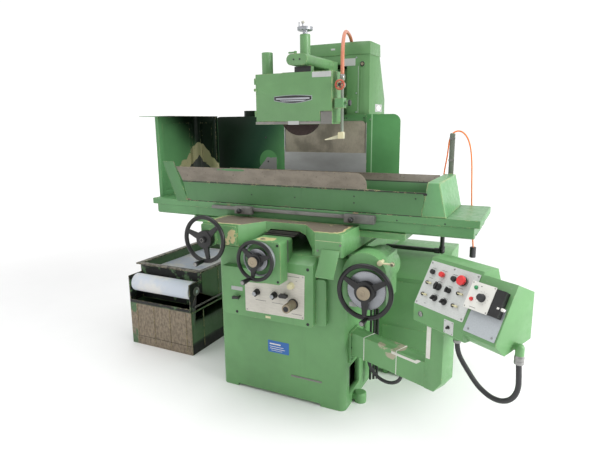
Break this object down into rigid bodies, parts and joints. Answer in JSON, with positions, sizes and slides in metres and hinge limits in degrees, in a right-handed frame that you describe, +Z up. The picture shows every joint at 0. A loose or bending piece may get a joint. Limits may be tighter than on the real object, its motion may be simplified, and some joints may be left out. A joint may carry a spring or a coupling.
{
  "type": "surface grinder",
  "caption": "Horizontal-spindle surface grinder with a reciprocating table, splash guards, column, control pendant and paper-filter coolant tank.",
  "frame": {"origin": "centre of the base casting's underside, on the floor", "axes": "+X right along the table's travel as the operator sees it, +Y from the operator to the column, +Z up"},
  "size_m": [2.6111, 1.5244, 2.095],
  "materials": {
    "green": "satin enamel, worn at the edges",
    "green_base": "satin enamel",
    "worn_green": "worn enamel over cast iron",
    "tank_green": "rust-stained enamel",
    "grey_sheet": "grimy grey sheet",
    "dark_sheet": "oily sheet steel",
    "steel": "turned steel",
    "dark_steel": "oily dark steel",
    "black_paint": "satin black",
    "black_wheel": "glossy black",
    "black_rubber": "matt black",
    "black_plastic": "satin black",
    "orange_cable": "orange sheath",
    "copper_hose": "red-brown hose",
    "abrasive": "bonded abrasive",
    "silver": "satin aluminium",
    "red_paint": "chipped red",
    "red_plastic": "glossy red",
    "paper": "matt filter paper",
    "cream": "ivory"
  },
  "bodies": {
    "root": {"base_casting": "green_base", "levelling_feet": "green_base", "column_casting": "green", "column_cap": "green", "fixed_way_cover": "grey_sheet", "elevating_screw": "steel", "splash_wings": "green", "control_box": "green_base", "crossfeed_housing": "worn_green", "elevating_housing": "green_base", "filter_tank": "tank_green", "side_cabinet": "green_base", "drain_pipe": "black_paint", "pendant_arm": "green_base", "arm_cable": "black_rubber"},
    "saddle": {"saddle_casting": "worn_green", "traverse_housing": "green", "horn_cover": "worn_green", "front_way_cover": "dark_sheet"},
    "table": {"table_casting": "green", "magnetic_chuck": "dark_steel", "coolant_trough": "worn_green", "end_wall": "green", "end_hood": "green", "dog_bar": "dark_steel", "chuck_cable": "orange_cable", "chuck_plug": "black_rubber"},
    "left_dog": {"left_dog": "dark_steel"},
    "right_dog": {"right_dog": "dark_steel"},
    "wheelhead": {"wheelhead_casting": "green", "spindle_motor": "black_paint", "wheel_guard": "green", "sliding_way_cover": "grey_sheet", "coolant_pipe": "steel", "coolant_hose": "copper_hose", "dresser_arm": "green"},
    "door": {"guard_door": "green"},
    "spindle": {"spindle_shaft": "steel", "grinding_wheel": "abrasive"},
    "quill": {"dresser_quill": "steel"},
    "dresser_knob": {"dresser_knob": "silver"},
    "valve_wheel": {"coolant_valve_wheel": "red_paint"},
    "paper_roll": {"paper_roll": "paper"},
    "elevating_wheel": {"elevating_handwheel": "black_wheel"},
    "crossfeed_wheel": {"crossfeed_handwheel": "black_wheel"},
    "traverse_wheel": {"traverse_handwheel": "black_wheel"},
    "start_lever": {"start_lever": "black_plastic"},
    "speed_knob": {"speed_knob": "silver"},
    "left_feed_knob": {"left_feed_knob": "black_plastic"},
    "right_feed_knob": {"right_feed_knob": "black_plastic"},
    "cream_knob": {"cream_knob": "cream"},
    "reversing_lever": {"reversing_lever": "black_plastic"},
    "clutch_lever": {"clutch_lever": "cream"},
    "pendant": {"pendant_box": "green_base", "pendant_conduit": "black_rubber"},
    "stop_button": {"stop_button": "red_plastic"},
    "start_button": {"start_button": "black_plastic"},
    "wheel_stop_button": {"wheel_stop_button": "red_plastic"},
    "infeed_knob": {"infeed_knob": "black_plastic"},
    "mode_selector": {"mode_selector": "black_plastic"}
  },
  "joints": [
    {"name": "crossfeed_turn", "type": "hinge", "parent": "root", "child": "crossfeed_wheel", "pos_m": [-0.022, -0.75, 0.853], "axis": [0, 1, 0], "range_deg": [-10798.02, 1439.74]},
    {"name": "saddle_slide", "type": "slide", "parent": "root", "child": "saddle", "axis": [0, 1, 0], "range_m": [-0.15, 0.02]},
    {"name": "traverse_turn", "type": "hinge", "parent": "saddle", "child": "traverse_wheel", "pos_m": [-0.356, -0.72, 0.93], "axis": [0, 1, 0], "range_deg": [-1212.95, 1212.95]},
    {"name": "table_slide", "type": "slide", "parent": "saddle", "child": "table", "axis": [1, 0, 0], "range_m": [-0.29, 0.29]},
    {"name": "elevating_turn", "type": "hinge", "parent": "root", "child": "elevating_wheel", "pos_m": [0.544, -0.672, 0.743], "axis": [0, 1, 0], "range_deg": [-45048.36, 9009.67]},
    {"name": "wheelhead_slide", "type": "slide", "parent": "root", "child": "wheelhead", "axis": [0, 0, 1], "range_m": [-0.25, 0.05], "deforming": ["coolant_hose"]},
    {"name": "dresser_turn", "type": "hinge", "parent": "wheelhead", "child": "dresser_knob", "pos_m": [0.03, -0.24, 2.05], "axis": [0, 0, 1], "range_deg": [-3603.87, 5405.8]},
    {"name": "dresser_slide", "type": "slide", "parent": "wheelhead", "child": "quill", "axis": [0, 0, 1], "range_m": [-0.02, 0.03]},
    {"name": "guard_door_swing", "type": "hinge", "parent": "wheelhead", "child": "door", "pos_m": [-0.249, -0.321, 1.68], "axis": [0, 0, -1], "range_deg": [0, 110]},
    {"name": "spindle_turn", "type": "hinge", "parent": "wheelhead", "child": "spindle", "pos_m": [0, -0.2415, 1.602], "axis": [0, 1, 0], "continuous": true},
    {"name": "coolant_valve_turn", "type": "hinge", "parent": "wheelhead", "child": "valve_wheel", "pos_m": [0.276, -0.338, 1.739], "axis": [0, 1, 0], "range_deg": [0, 720]},
    {"name": "paper_roll_turn", "type": "hinge", "parent": "root", "child": "paper_roll", "pos_m": [-1.041, -0.298, 0.44], "axis": [1, 0, 0], "continuous": true},
    {"name": "left_dog_slide", "type": "slide", "parent": "table", "child": "left_dog", "axis": [1, 0, 0], "range_m": [-0.1, 0.1]},
    {"name": "right_dog_slide", "type": "slide", "parent": "table", "child": "right_dog", "axis": [1, 0, 0], "range_m": [-0.1, 0]},
    {"name": "start_lever_turn", "type": "hinge", "parent": "root", "child": "start_lever", "pos_m": [0.077, -0.64, 0.646], "axis": [0, 1, 0], "range_deg": [-35, 35]},
    {"name": "speed_knob_turn", "type": "hinge", "parent": "root", "child": "speed_knob", "pos_m": [0.131, -0.66, 0.602], "axis": [0, 1, 0], "range_deg": [-150, 150]},
    {"name": "left_feed_turn", "type": "hinge", "parent": "root", "child": "left_feed_knob", "pos_m": [-0.091, -0.64, 0.637], "axis": [0, 1, 0], "range_deg": [-140, 140]},
    {"name": "right_feed_turn", "type": "hinge", "parent": "root", "child": "right_feed_knob", "pos_m": [0.018, -0.64, 0.636], "axis": [0, 1, 0], "range_deg": [-140, 140]},
    {"name": "cream_knob_turn", "type": "hinge", "parent": "root", "child": "cream_knob", "pos_m": [0.12, -0.64, 0.702], "axis": [0, 1, 0], "range_deg": [-90, 90]},
    {"name": "reversing_lever_turn", "type": "hinge", "parent": "root", "child": "reversing_lever", "pos_m": [-0.207, -0.64, 0.594], "axis": [0, 1, 0], "range_deg": [-25, 25]},
    {"name": "clutch_lever_turn", "type": "hinge", "parent": "root", "child": "clutch_lever", "pos_m": [0.604, -0.63, 0.884], "axis": [0, 1, 0], "range_deg": [-30, 30]},
    {"name": "pendant_swivel", "type": "hinge", "parent": "root", "child": "pendant", "pos_m": [0.904, -0.65, 0.66], "axis": [0, 0, 1], "range_deg": [-50, 50]},
    {"name": "stop_button_press", "type": "slide", "parent": "pendant", "child": "stop_button", "axis": [0.4674, 0.7393, -0.4848], "range_m": [0, 0.006], "stiffness_N_per_m": 400},
    {"name": "start_button_press", "type": "slide", "parent": "pendant", "child": "start_button", "axis": [0.4674, 0.7393, -0.4848], "range_m": [0, 0.004], "stiffness_N_per_m": 400},
    {"name": "wheel_stop_button_press", "type": "slide", "parent": "pendant", "child": "wheel_stop_button", "axis": [0.4674, 0.7393, -0.4848], "range_m": [0, 0.004], "stiffness_N_per_m": 400},
    {"name": "infeed_knob_turn", "type": "hinge", "parent": "pendant", "child": "infeed_knob", "pos_m": [0.90006, -0.72243, 0.83467], "axis": [-0.4674, -0.7393, 0.4848], "range_deg": [-135, 135]},
    {"name": "mode_selector_turn", "type": "hinge", "parent": "pendant", "child": "mode_selector", "pos_m": [0.95052, -0.7549, 0.83379], "axis": [-0.4674, -0.7393, 0.4848], "range_deg": [-45, 45]}
  ],
  "couplings": [
    {"joint": "crossfeed_turn", "follows": "saddle_slide", "rad_per_m": 1256.3},
    {"joint": "traverse_turn", "follows": "table_slide", "rad_per_m": 72.993},
    {"joint": "elevating_turn", "follows": "wheelhead_slide", "rad_per_m": 3144.7},
    {"joint": "dresser_turn", "follows": "dresser_slide", "rad_per_m": 3144.7}
  ]
}
